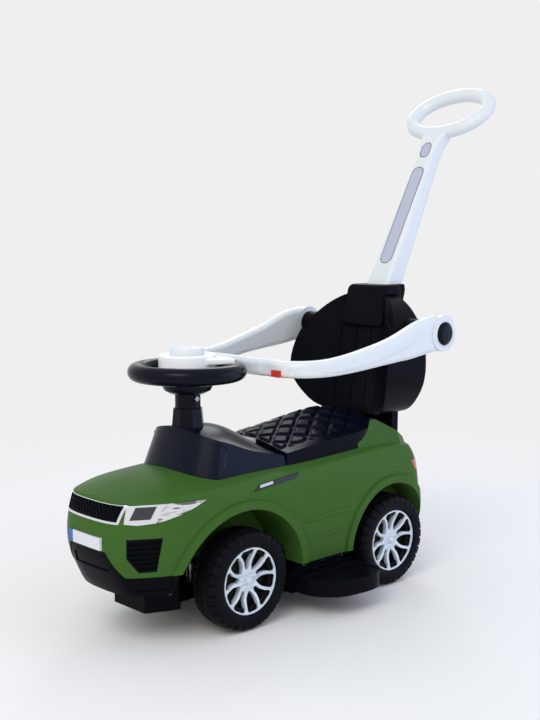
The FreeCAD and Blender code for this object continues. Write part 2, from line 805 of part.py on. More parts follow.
def back_form(inset):
    half = shield + [(0, 300)]
    loop = half + [(-x, z) for x, z in reversed(half[1:-1])]
    loop = inset_loop(loop[::-1], inset)
    face = Part.Face(ring_wire([V(x, 120, z) for x, z in loop]))
    block = face.extrude(V(0, back_rear_y - inset - 120, 0))
    front = curve([V(-200, y + inset, z) for y, z in rim_line])
    first = V(-200, rim_line[0][0] + inset, rim_line[0][1])
    last = V(-200, rim_line[-1][0] + inset, rim_line[-1][1])
    side = Part.Wire([
        front,
        Part.makeLine(last, V(-200, 300, last.z)),
        Part.makeLine(V(-200, 300, last.z), V(-200, 300, first.z)),
        Part.makeLine(V(-200, 300, first.z), first),
    ])
    block = block.common(Part.Face(side).extrude(V(400, 0, 0)))
    bucket = upright(bucket_radius + inset, 0, bucket_centre_y, 0, 800)
    bucket = turned(bucket, V(0, bucket_centre_y, 380), V(1, 0, 0), -bucket_lean)
    return block.cut(bucket)


back_outer = back_form(0.0)
back_shell = back_outer.cut(back_form(back_skin))
seams = []
for angle in (-20.0, -6.8, 6.8, 20.0):
    blade = box(-0.8, 0.8, 0, bucket_radius + 1.6, 0, 800)
    blade = turned(blade, V(0, 0, 0), V(0, 0, 1), -angle)
    blade = moved(blade, 0, bucket_centre_y, 0)
    seams.append(turned(blade, V(0, bucket_centre_y, 380), V(1, 0, 0), -bucket_lean))
back_split_y = 246.0
front_half = box(-200, 200, 0, back_split_y, 0, 700)
stem_rear_y = back_rear_y - back_skin
stem_front_y = stem_rear_y - stem_depth
stem_block = box(-stem_half, stem_half, stem_front_y, stem_rear_y, 232, 430)
stem = stem_block.cut(box(-stem_half + 14, stem_half - 14, stem_front_y - 1, stem_rear_y - 4, 300, 440))


def axis_point(run):
    turn = math.radians(post_angle)
    return V(0, post_foot_y + run * math.cos(turn), post_foot_z + run * math.sin(turn))


lean_up = axis_point(1) - axis_point(0)
lean_back = V(0, lean_up.z, -lean_up.y)


def rounded(centre, across_dir, up_dir, wide, tall, radius):
    # rounded rectangle wire about a centre, in the plane of two unit directions
    a = wide / 2
    b = tall / 2
    r = min(radius, 0.49 * wide, 0.49 * tall)
    k = r * (1 - math.sqrt(0.5))

    def spot(p, q):
        return centre + across_dir * p + up_dir * q

    corners = [
        ((a, b - r), (a - k, b - k), (a - r, b)),
        ((-a + r, b), (-a + k, b - k), (-a, b - r)),
        ((-a, -b + r), (-a + k, -b + k), (-a + r, -b)),
        ((a - r, -b), (a - k, -b + k), (a, -b + r)),
    ]
    edges = []
    for index in range(4):
        start, middle, end = corners[index]
        edges.append(Part.Arc(spot(*start), spot(*middle), spot(*end)).toShape())
        follow = corners[(index + 1) % 4][0]
        edges.append(Part.makeLine(spot(*end), spot(*follow)))
    return Part.Wire(edges)


post_stations = [
    (-post_plug, post_width, post_depth), (0.0, post_width, post_depth), (190.0, 43.0, 33.0),
    (262.0, neck_width, neck_depth), (296.0, 50.0, 28.0), (316.0, 70.0, 22.0),
]
post_wires = [rounded(axis_point(run), V(1, 0, 0), lean_back, w, d, 9) for run, w, d in post_stations]
plug = Part.makeLoft(post_wires[:2], True)


def post_form(trim, corner):
    # straight taper up to the neck, then a smooth flare into the ring
    wires = []
    for run, w, d in post_stations[1:]:
        wires.append(rounded(axis_point(run), V(1, 0, 0), lean_back, w - 2 * trim, d - 2 * trim, corner))
    return Part.makeLoft(wires[:3], True, True).fuse(Part.makeLoft(wires[2:], True))


post_solid = post_form(0, 9)
tilt = math.radians(ring_tilt)
ring_up = V(0, math.cos(tilt), math.sin(tilt))
ring_centre = V(0, ring_y, ring_z)
loop_curve = Part.Ellipse(
    ring_centre + V(ring_half_width, 0, 0), ring_centre + ring_up * ring_half_length, ring_centre,
)
ring_normal = V(0, -math.sin(tilt), math.cos(tilt))
tube_centre = ring_centre + V(ring_half_width, 0, 0)
tube = Part.Ellipse(
    tube_centre + V(ring_section / 2, 0, 0), tube_centre + ring_normal * (ring_thick / 2), tube_centre,
)
tube_wire = Part.Wire([tube.toShape()])
# two half sweeps, so that no face closes on itself both ways
ring_halves = []
for start, end in ((0, math.pi), (math.pi, 2 * math.pi)):
    half_path = Part.Wire([Part.ArcOfEllipse(loop_curve, start, end).toShape()])
    ring_halves.append(half_path.makePipeShell([tube_wire], True, False))
bore_stations = [(run, w - 2 * post_wall, d - 2 * post_wall) for run, w, d in post_stations[1:]]
bore_wires = [rounded(axis_point(run), V(1, 0, 0), lean_back, w, d, 6) for run, w, d in bore_stations]
bore_zone = Part.Face(rounded(axis_point(-1), V(1, 0, 0), lean_back, 120, 120, 6)).extrude(lean_up * 251)
plug_bore = Part.Face(bore_wires[0]).extrude(lean_up * (-post_plug - 1))
post_bore = Part.makeLoft(bore_wires[:3], True, True).common(bore_zone).fuse(plug_bore)
handle = plug.fuse([post_solid] + ring_halves).cut(post_bore)
decal_front = lean_back * (-1)


def post_inlay(start, end, width):
    # flat pill let into the front face of the post
    low = axis_point(start)
    high = axis_point(end)
    slab = rounded((low + high) * 0.5, V(1, 0, 0), lean_up, width, end - start, width / 2)
    return Part.Face(slab).extrude(decal_front * 40)


front_skin = post_form(1, 8)
for node, zone in (("handle_decal", post_inlay(34, 236, 28)), ("handle_badge", post_inlay(256, 288, 22))):
    pocket = zone.cut(front_skin)
    parts[node] = pocket.common(post_solid)
    handle = handle.cut(pocket)
parts["push_handle"] = handle

head_profile = [
    (217, 461), (222, 457), (250, 457), (276, 470), (296, 492), (304, 522),
    (302, 533), (239, 533), (234, 528),
]
head_side = prism([V(-70, y, z) for y, z in head_profile], V(140, 0, 0))
head_top_half = headrest_half - headrest_taper
head_front = prism([
    V(-headrest_half, 200, 457), V(headrest_half, 200, 457),
    V(head_top_half, 200, 533), V(-head_top_half, 200, 533),
], V(0, 76, 0))
corners = [e for e in head_front.Edges if e.BoundBox.YLength > 70]
head_front = head_front.makeFillet(8.0, corners)
socket_half = post_width / 2 + 8
narrow_socket = box(-socket_half, socket_half, 270, 320, 440, 540)
head = head_side.common(head_front.fuse(narrow_socket))
socket = Part.Face(post_wires[0]).extrude(lean_up * (post_plug + 40))
parts["headrest"] = head.cut([back_outer, socket])
parts["backrest_front"] = back_shell.common(front_half).cut(seams + [stem_block, plug])
parts["backrest_rear"] = back_shell.cut(front_half).cut([stem_block, plug])
parts["backrest_stem"] = stem.cut(plug)
parts["body_shell"] = parts["body_shell"].cut(stem)

# guard: two channel arms that meet in the front bar
guard_path = [
    (165.0, 238.0, 454.0, 60.0), (164.0, 190.0, 449.5, 61.0), (163.5, 140.0, 438.0, 50.0),
    (161.5, 100.0, 429.5, 41.0), (157.5, 60.0, 422.5, 36.0), (151.5, 20.0, 416.0, 32.0),
    (145.5, -15.0, 412.3, 29.5), (137.5, -45.0, 411.3, 28.5), (120.0, -65.0, 411.0, 28.0),
    (92.0, -73.5, 411.0, 28.0), (guard_split_x, -73.5, 411.0, 28.0),
]


def guard_section(index, trim, path):
    x, y, z, tall = path[index]
    before = path[max(index - 1, 0)]
    after = path[min(index + 1, len(path) - 1)]
    run = V(after[0] - before[0], after[1] - before[1], 0)
    run.normalize()
    side = V(-run.y, run.x, 0)
    wide = guard_thick - 2 * trim
    if trim:
        return rounded(V(x, y, z - trim), side, V(0, 0, 1), wide, tall, 5)
    return rounded(V(x, y, z), side, V(0, 0, 1), wide, tall, 9)


def guard_arm(path, first_hollow, last_hollow):
    body = Part.makeLoft([guard_section(i, 0, path) for i in range(len(path))], True, False, False, 3)
    core = [guard_section(i, guard_skin, path) for i in range(first_hollow, last_hollow)]
    return body.cut(Part.makeLoft(core, True, False, False, 3))


right_path = [(-x, y, z, tall) for x, y, z, tall in guard_path]
right_path += [(x, *guard_path[-1][1:]) for x in (-18.0, 18.0, guard_split_x)]
pivot_bore = across(10 + running_fit, 100, 240, pivot_y, pivot_z)
boss_disc = across(guard_boss_radius, guard_boss_inner_x, guard_boss_outer_x, pivot_y, pivot_z)
left_arm = guard_arm(guard_path, 2, len(guard_path) - 1).fuse(boss_disc).cut(pivot_bore)
right_arm = guard_arm(right_path, 2, len(right_path) - 1)
right_arm = right_arm.fuse(mirrored(boss_disc)).cut(mirrored(pivot_bore))
button = box(87, 107, -87.5, -76.0, 399.5, 410.0)
ribs = [box(x, x + 1.6, -89.0, -87.5, 400.5, 409.0) for x in (90.0, 94.5, 99.0, 103.5)]
button_fit = 0.1
hole = box(87 - button_fit, 107 + button_fit, -95, -68, 399.5 - button_fit, 410 + button_fit)
parts["guard_left_arm"] = left_arm.cut(hole)
parts["guard_right_arm"] = right_arm
parts["release_button"] = button.fuse(ribs)
stud = across(22, 90, guard_boss_inner_x - 0.3, pivot_y, pivot_z)
stud = stud.fuse(across(10, 90, guard_boss_outer_x - 1, pivot_y, pivot_z)).cut(back_outer)
stud = max(stud.Solids, key=lambda s: s.BoundBox.XMax)
parts["guard_pivots"] = Part.makeCompound(both(stud))
out_x = guard_boss_outer_x
knob_points = [
    (out_x + 0.3, 0), (out_x + 0.3, knob_radius), (out_x + 3, knob_radius),
    (out_x + 6.5, 14), (out_x + 8, 0),
]
knob = spun([V(x, pivot_y, pivot_z + r) for x, r in knob_points], V(0, pivot_y, pivot_z), V(1, 0, 0))
knob = knob.fuse(across(8, out_x - 1, out_x + 2, pivot_y, pivot_z))
parts["guard_knobs"] = Part.makeCompound(both(knob))

# footrests: hollow trays that slide in the tunnel
def foot_plan(inset, z):
    rim_curve = curve([
        V(118, foot_front_y + inset, z), V(150, foot_front_y + 8 + inset, z),
        V(foot_outer_x - 10 - inset, -18, z), V(foot_outer_x - inset, 24, z),
        V(foot_outer_x - 1 - inset, 64, z), V(foot_outer_x - 12 - inset, 84, z),
        V(158, foot_rear_y - inset, z),
    ])
    edges = [
        rim_curve,
        Part.makeLine(V(158, foot_rear_y - inset, z), V(foot_inner_x, foot_rear_y - inset, z)),
        Part.makeLine(V(foot_inner_x, foot_rear_y - inset, z), V(foot_inner_x, foot_front_y + inset, z)),
        Part.makeLine(V(foot_inner_x, foot_front_y + inset, z), V(118, foot_front_y + inset, z)),
    ]
    return Part.Face(Part.Wire(edges))


tray = foot_plan(0, foot_bottom_z).extrude(V(0, 0, foot_top_z - foot_bottom_z))
hollow = foot_plan(foot_skin, foot_bottom_z - 1).extrude(V(0, 0, foot_top_z - foot_bottom_z + 1 - foot_skin))
dish = foot_plan(7, foot_top_z - 1.2).extrude(V(0, 0, 5)).common(box(118, 300, -100, 200, 0, 100))
tray = tray.cut([hollow, dish])
parts["footrest_left"] = tray
parts["footrest_right"] = mirrored(tray)

# the frame origin is the middle of the overall box, on the ground
front_y = parts["number_plate"].optimalBoundingBox().YMin
rear_y = parts["push_handle"].optimalBoundingBox().YMax
os.makedirs("parts", exist_ok=True)
for node, shape in parts.items():
    placed = moved(shape, 0, -(front_y + rear_y) / 2, 0)
    placed.exportStep("parts/" + node + ".step")
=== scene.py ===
import bpy
import bmesh
import math
from mathutils import Matrix, Vector
from mathutils.bvhtree import BVHTree


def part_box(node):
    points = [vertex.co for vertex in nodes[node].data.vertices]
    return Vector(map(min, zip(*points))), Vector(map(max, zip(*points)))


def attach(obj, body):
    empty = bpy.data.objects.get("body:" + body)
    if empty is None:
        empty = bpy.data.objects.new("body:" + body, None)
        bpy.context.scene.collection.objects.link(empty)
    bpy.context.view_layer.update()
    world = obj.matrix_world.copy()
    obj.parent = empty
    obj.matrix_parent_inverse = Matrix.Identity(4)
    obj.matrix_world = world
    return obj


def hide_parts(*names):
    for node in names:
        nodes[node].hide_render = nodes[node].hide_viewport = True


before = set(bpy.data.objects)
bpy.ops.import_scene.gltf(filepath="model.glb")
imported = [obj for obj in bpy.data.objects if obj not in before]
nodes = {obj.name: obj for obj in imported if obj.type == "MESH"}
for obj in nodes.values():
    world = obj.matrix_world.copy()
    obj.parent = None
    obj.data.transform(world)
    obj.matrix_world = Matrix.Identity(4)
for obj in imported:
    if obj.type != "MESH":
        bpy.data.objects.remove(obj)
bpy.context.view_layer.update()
scene = bpy.context.scene
sides = (("left", 1.0), ("right", -1.0))
perMetre = 1000  # outlines and profiles are listed in millimetres
print("stage: solids loaded,", len(nodes))


def middle(node):
    low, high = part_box(node)
    return (low + high) / 2


def pair(name):
    return [name + "_" + side for side, sign in sides]


def smooth(value, low, high):
    share = min(1.0, max(0.0, (value - low) / (high - low)))
    return share * share * (3 - 2 * share)


# node helpers for the finishes
def calc(tree, kind, first, second=0.0):
    step = tree.nodes.new("ShaderNodeMath")
    step.operation = kind
    for index, value in enumerate((first, second)):
        if isinstance(value, (int, float)):
            step.inputs[index].default_value = value
        else:
            tree.links.new(value, step.inputs[index])
    return step.outputs[0]


def distance(tree, first, second):
    squares = [calc(tree, "MULTIPLY", value, value) for value in (first, second)]
    return calc(tree, "SQRT", calc(tree, "ADD", *squares))


def ramp(tree, value, low, high, outLow=0.0, outHigh=1.0):
    # smooth step from outLow to outHigh
    step = tree.nodes.new("ShaderNodeMapRange")
    step.interpolation_type = "SMOOTHSTEP"
    step.clamp = True
    tree.links.new(value, step.inputs["Value"])
    for name, number in (("From Min", low), ("From Max", high), ("To Min", outLow), ("To Max", outHigh)):
        step.inputs[name].default_value = number
    return step.outputs["Result"]


def within(tree, value, low, high, soft):
    # one between the two limits and nothing outside them
    rising = ramp(tree, value, low, low + soft)
    return calc(tree, "MULTIPLY", rising, ramp(tree, value, high, high + soft, 1.0, 0.0))


def place(tree, centre=(0, 0, 0)):
    # rest coordinates in metres, counted from a centre
    source = tree.nodes.new("ShaderNodeTexCoord")
    shift = tree.nodes.new("ShaderNodeVectorMath")
    shift.operation = "SUBTRACT"
    shift.inputs[1].default_value = tuple(centre)
    tree.links.new(source.outputs["Object"], shift.inputs[0])
    split = tree.nodes.new("ShaderNodeSeparateXYZ")
    tree.links.new(shift.outputs[0], split.inputs[0])
    return split.outputs["X"], split.outputs["Y"], split.outputs["Z"]


def noise(tree, scale, detail, stretch=(1, 1, 1)):
    source = tree.nodes.new("ShaderNodeTexCoord")
    spread = tree.nodes.new("ShaderNodeMapping")
    spread.inputs["Scale"].default_value = stretch
    tree.links.new(source.outputs["Object"], spread.inputs["Vector"])
    cloud = tree.nodes.new("ShaderNodeTexNoise")
    cloud.inputs["Scale"].default_value = scale
    cloud.inputs["Detail"].default_value = detail
    tree.links.new(spread.outputs[0], cloud.inputs["Vector"])
    return cloud.outputs["Fac"]


def tint(tree, factor, first, second):
    blendNode = tree.nodes.new("ShaderNodeMix")
    blendNode.data_type = "RGBA"
    tree.links.new(factor, blendNode.inputs["Factor"])
    for socket, value in ((blendNode.inputs[6], first), (blendNode.inputs[7], second)):
        if isinstance(value, tuple):
            socket.default_value = (*value, 1.0)
        else:
            tree.links.new(value, socket)
    return blendNode.outputs[2]


def relief(tree, shader, height, strength, depth):
    # bumps stack: a later one is added onto the one already there
    bump = tree.nodes.new("ShaderNodeBump")
    bump.inputs["Strength"].default_value = strength
    bump.inputs["Distance"].default_value = depth
    tree.links.new(height, bump.inputs["Height"])
    if shader.inputs["Normal"].links:
        tree.links.new(shader.inputs["Normal"].links[0].from_socket, bump.inputs["Normal"])
    tree.links.new(bump.outputs[0], shader.inputs["Normal"])


# what a finish has where its piece sets nothing else
plainLook = {
    "metal": 0.0, "specular": 0.5, "coat": 0.0, "coatRough": 0.08, "uneven": 0.25, "edge": 0.0012, "edgeSamples": 4,
    "patchScale": 14.0, "patchDetail": 4.0, "patchFrom": 0.25, "patchTo": 0.75,
    "grain": 700.0, "grainDetail": 2.0, "grainStrength": 0.12, "grainDepth": 0.0004,
}
lookSockets = {
    "Metallic": "metal", "Specular IOR Level": "specular", "Coat Weight": "coat", "Coat Roughness": "coatRough",
    "Roughness": "rough",
}


def finish(name, settings):
    # moulded surface: fine grain in the relief and uneven gloss
    look = {**plainLook, **settings}
    material = bpy.data.materials.new(name)
    material.use_nodes = True
    tree = material.node_tree
    shader = tree.nodes["Principled BSDF"]
    shader.inputs["Base Color"].default_value = (*look["colour"], 1.0)
    for socket, key in lookSockets.items():
        shader.inputs[socket].default_value = look[key]
    patches = noise(tree, look["patchScale"], look["patchDetail"])
    smoother, rougher = (look["rough"] * (1 + sign * look["uneven"]) for sign in (-1, 1))
    gloss = ramp(tree, patches, look["patchFrom"], look["patchTo"], smoother, rougher)
    tree.links.new(gloss, shader.inputs["Roughness"])
    edges = tree.nodes.new("ShaderNodeBevel")
    edges.samples = look["edgeSamples"]
    edges.inputs["Radius"].default_value = look["edge"]
    tree.links.new(edges.outputs["Normal"], shader.inputs["Normal"])
    relief(tree, shader, noise(tree, look["grain"], look["grainDetail"]), look["grainStrength"], look["grainDepth"])
    return material, tree, shader


def dress(material, *names):
    for name in names:
        mesh = nodes[name].data
        mesh.materials.clear()
        mesh.materials.append(material)


# builders of the pieces that are added to the solids; edges over the angle in degrees stay sharp
sharpAngle = {"moulded": 35, "turned": 30, "soft": 180}


def addPiece(name, mesh, material, body, kind="moulded"):
    mesh.materials.clear()
    mesh.materials.append(material)
    mesh.shade_smooth()
    mesh.set_sharp_from_angle(angle=math.radians(sharpAngle[kind]))
    item = bpy.data.objects.new(name, mesh)
    scene.collection.objects.link(item)
    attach(item, body)
    return item


def meshPiece(name, verts, faces, material, body, kind="moulded"):
    mesh = bpy.data.meshes.new(name)
    mesh.from_pydata(verts, [], faces)
    work = bmesh.new()
    work.from_mesh(mesh)
    bmesh.ops.recalc_face_normals(work, faces=work.faces)
    work.to_mesh(mesh)
    work.free()
    return addPiece(name, mesh, material, body, kind)


def surfaceOf(node):
    mesh = nodes[node].data
    return BVHTree.FromPolygons([v.co for v in mesh.vertices], [p.vertices[:] for p in mesh.polygons])


def ribOn(name, node, starts, way, radius, material, body, closed=False):
    # round line through the points where rays meet a solid
    surface = surfaceOf(node)
    hits = [surface.ray_cast(Vector(start), Vector(way))[0] for start in starts]
    points = [hit for hit in hits if hit is not None]
    line = bpy.data.curves.new(name, "CURVE")
    line.dimensions = "3D"
    line.bevel_depth = radius
    line.bevel_resolution = 3
    line.resolution_u = 8
    line.use_fill_caps = True
    run = line.splines.new("BEZIER")
    run.bezier_points.add(len(points) - 1)
    for knot, point in zip(run.bezier_points, points):
        knot.co = point
        knot.handle_left_type = knot.handle_right_type = "AUTO"
    run.use_cyclic_u = closed
    line.materials.append(material)
    item = bpy.data.objects.new(name, line)
    scene.collection.objects.link(item)
    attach(item, body)


def ringSpots(count, reach):
    turns = [2 * math.pi * index / count for index in range(count)]
    return [(reach * math.cos(turn), reach * math.sin(turn)) for turn in turns]


def smoothLine(points, count):
    # evenly stepped points on a curve through the given ones
    last = len(points) - 1
    line = []
    for index in range(count):
        at = index * last / (count - 1)
        low = min(int(at), last - 1)
        t = at - low
        a, b, c, d = (Vector(points[max(0, min(last, low + step))]) for step in (-1, 0, 1, 2))
        bend = (2 * a - 5 * b + 4 * c - d) * t**2 + (3 * b - a - 3 * c + d) * t**3
        line.append(0.5 * (2 * b + (c - a) * t + bend))
    return line


def sheetOn(name, node, starts, way, material, body, sunk=0.0015):
    # closed sheet that follows a solid: starts is rows of (ray start, height over the solid)
    surface = surfaceOf(node)
    way = Vector(way).normalized()
    front, back, spotOf = [], [], {}
    for row, line in enumerate(starts):
        for column, (start, height) in enumerate(line):
            found = surface.ray_cast(Vector(start), way)[0]
            if found is not None:
                spotOf[row, column] = len(front)
                front.append(found - way * height)
                back.append(found + way * sunk)
    count = len(front)
    faces = []
    for row, column in spotOf:
        ring = [(row, column), (row, column + 1), (row + 1, column + 1), (row + 1, column)]
        if all(spot in spotOf for spot in ring):
            faces.append(tuple(spotOf[spot] for spot in ring))
    edges = {(face[i], face[(i + 1) % 4]) for face in faces for i in range(4)}
    walls = [(b, a, a + count, b + count) for a, b in edges if (b, a) not in edges]
    under = [tuple(spot + count for spot in reversed(face)) for face in faces]
    meshPiece(name, front + back, faces + under + walls, material, body)


# green shell
shellLook = {
    "colour": (0.045, 0.115, 0.021), "rough": 0.38, "specular": 0.06, "uneven": 0.1,
    "grain": 420.0, "grainStrength": 0.03,
}
dress(finish("shellGreen", shellLook)[0], "body_shell")

# glossy black mouldings
glossLook = {"colour": (0.003, 0.004, 0.009), "rough": 0.2, "specular": 0.11, "grain": 500.0, "grainStrength": 0.04}
glossBlack = finish("glossBlack", glossLook)[0]
dress(glossBlack, "steering_wheel", "guard_knobs", "column_boot", "column_sleeve")
# dash: glossy black with a navy tint painted into its colour, a painted blue reflection from its side
dashSheenLook = {"colour": (0.0038, 0.0058, 0.014), "rough": 0.22, "specular": 0.1, "grain": 500.0, "grainStrength": 0.04}
dashBlackBlueSheen = finish("dashBlackBlueSheen", dashSheenLook)[0]
dress(dashBlackBlueSheen, "dashboard_cowl")

# satin black mouldings
satinLook = {
    "colour": (0.003, 0.0034, 0.0055), "rough": 0.34, "specular": 0.035, "grain": 900.0, "grainStrength": 0.1,
}
satinBlack = finish("satinBlack", satinLook)[0]
dress(
    satinBlack, "front_bumper", "chassis_pan", "backrest_front", "backrest_rear", "backrest_stem", "headrest",
    "guard_pivots", "grille_mesh", *pair("fog_grille"), *pair("footrest"), *pair("knuckle"),
)

# quilted seat: diamonds across the top only
seatLook = {
    "colour": (0.003, 0.004, 0.009), "rough": 0.2, "specular": 0.05, "grain": 500.0, "grainStrength": 0.04,
    "pitch": 0.034, "slant": 0.72, "groove": 0.2, "depth": 0.0035, "half": 0.079, "border": 0.007, "step": 0.002,
    "grooveSunk": 0.0004, "rayFrom": 0.5,
}
seatFinish = finish("seatBlack", seatLook)[0]
dress(seatFinish, "seat")
seatLow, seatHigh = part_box("seat")


def puff(x, y):
    # height of the quilting over the seat
    runs = []
    for sign in (1.0, -1.0):
        along = (x + sign * seatLook["slant"] * y) / seatLook["pitch"]
        runs.append(0.5 - abs(along - math.floor(along) - 0.5))
    edge = min(seatLook["half"] - abs(x), y - seatLow.y, seatHigh.y - y)
    swell = smooth(min(runs), 0.0, seatLook["groove"]) * smooth(edge, 0.0, seatLook["border"])
    return seatLook["depth"] * swell - seatLook["grooveSunk"]


acrossCount = int(2 * seatLook["half"] / seatLook["step"])
alongCount = int((seatHigh.y - seatLow.y) / seatLook["step"])
seatStarts = []
for row in range(alongCount + 1):
    y = seatLow.y + row * seatLook["step"]
    line = [-seatLook["half"] + column * seatLook["step"] for column in range(acrossCount + 1)]
    seatStarts.append([((x, y, seatLook["rayFrom"]), puff(x, y)) for x in line])
sheetOn("seatQuilting", "seat", seatStarts, (0, 0, -1), seatFinish, "car")

# white mouldings
whiteLook = {"colour": (0.68, 0.715, 0.74), "rough": 0.32, "coat": 0.1, "grain": 420.0, "grainStrength": 0.05}
whitePlastic = finish("coolWhite", whiteLook)[0]
dress(whitePlastic, "push_handle", "guard_left_arm", "guard_right_arm", "console_insert", "horn_button")
padLook = {
    "colour": (0.93, 0.94, 0.95), "rough": 0.26, "coat": 0.2, "grain": 420.0, "grainStrength": 0.04,
    "voxel": 0.0012, "rounds": 8,
}
padWhite = finish("padWhite", padLook)[0]
dress(padWhite, "wheel_pad")

# wheels: split-spoke trim on a dark carrier, tyre with shoulder lugs and fine tread ridges
# spoke openings are (degrees, radius), profiles are (distance along the axle, radius)
rimLook = {
    "colour": (0.62, 0.68, 0.74), "rough": 0.32, "metal": 0.15, "grain": 600.0, "grainStrength": 0.04,
    "pairs": 5, "lead": 6.8, "hub": 0.017, "hubFace": 0.0185, "ring": 0.0546, "ringFace": 0.025, "ringKnots": 24,
    "depth": 0.009, "roundOff": 0.0006, "weld": 0.00002,
    "boltCircle": 0.0134, "bolt": 0.0023, "boltFlat": 0.6, "boltAround": 12, "boltRows": 8,
    "petal": ((0, 17.6), (5.5, 19.4), (13.0, 24), (16.5, 31), (15.4, 40), (13.8, 47), (11.0, 50.9), (0, 51.5)),
    "gap": ((0, 18.6), (6.5, 19.3), (10.0, 23), (9.8, 31), (13.3, 40), (16.6, 48), (15.2, 50.9), (0, 51.5)),
}
carrierLook = {
    "colour": (0.003, 0.003, 0.004), "rough": 0.6, "specular": 0.15, "grain": 900.0, "steps": 72,
    "profile": (
        (20, 48.8), (-22, 48.8), (-22, 54.6), (-25, 54.6), (-25, 45.5), (4, 45.5), (4, 13), (-33.4, 13), (-33.4, 4.3),
        (9.4, 4.3), (9.4, 44), (20, 45.5),
    ),
}
tyreLook = {
    "colour": (0.004, 0.004, 0.006), "rough": 0.45, "specular": 0.06, "grain": 1200.0, "grainStrength": 0.15,
    "lugs": 30, "stepsPerLug": 12, "lugGap": 2, "lugDrop": 0.0022, "lugInset": 0.0009, "lugFrom": 0.074,
    "ridgeEvery": 3, "ridgeDrop": 0.0010,
    "wall": ((22, 49.2), (22, 55), (25.5, 56.3), (27, 59), (27.5, 64), (27.5, 67)),
    "shoulder": ((27.5, 67.4), (27.3, 71), (26.8, 74.5), (25.4, 77.6), (23, 79.8), (19.5, 81.2), (15.2, 82)),
    "crown": (
        (14.9, 80.6, ""), (12.3, 80.8, ""), (12, 82.2, ""), (5.2, 82.4, ""), (5, 82.5, "ridge"), (-1.5, 82.5, "ridge"),
        (-1.7, 81.4, ""), (-3.2, 81.4, ""), (-3.4, 82.5, "ridge"), (-10, 82.3, "ridge"), (-10.2, 81.2, ""),
        (-14.9, 81, ""),
    ),
}
rimSilver = finish("rimSilver", rimLook)[0]
carrierBlack = finish("carrierBlack", carrierLook)[0]
rubber = finish("tyreBlack", tyreLook)[0]
dress(rimSilver, "rear_axle_caps", *pair("axle_cap_front"))


def wheelPlace(corner):
    # middle of a wheel, and the way its outer face looks
    return middle("tyre_" + corner), 1.0 if corner.endswith("left") else -1.0


def lathe(name, loop, corner, steps, material, shape=None):
    # closed profile of (x, radius, zone) spun about the axle; shape moves a point by its zone and step
    centre, side = wheelPlace(corner)
    verts, faces = [], []
    for step in range(steps):
        turn = 2 * math.pi * step / steps
        for x, radius, zone in loop:
            if shape:
                x, radius = shape(x, radius, zone, step)
            spot = Vector((side * x, side * radius * math.sin(turn), radius * math.cos(turn)))
            verts.append(centre + spot)
    count = len(loop)
    for step in range(steps):
        after = (step + 1) % steps
        for spot in range(count):
            follow = (spot + 1) % count
            faces.append((step * count + spot, step * count + follow, after * count + follow, after * count + spot))
    return meshPiece(name, verts, faces, material, "wheel_" + corner, "turned")


def treadShape(x, radius, zone, step):
    if zone == "lug" and step % tyreLook["stepsPerLug"] < tyreLook["lugGap"]:
        inset = tyreLook["lugInset"] if x > 0 else -tyreLook["lugInset"]
        return x - inset, radius - (tyreLook["lugDrop"] if radius > tyreLook["lugFrom"] else 0.0)
    if zone == "ridge" and step % tyreLook["ridgeEvery"] == 0:
        return x, radius - tyreLook["ridgeDrop"]
    return x, radius


outerHalf = [(x, r, "") for x, r in tyreLook["wall"]] + [(x, r, "lug") for x, r in tyreLook["shoulder"]]
innerHalf = [(-x, r, zone) for x, r, zone in reversed(outerHalf)]
tyreLoop = [(x / perMetre, r / perMetre, zone) for x, r, zone in (*outerHalf, *tyreLook["crown"], *innerHalf)]
carrierLoop = [(x / perMetre, r / perMetre, "") for x, r in carrierLook["profile"]]


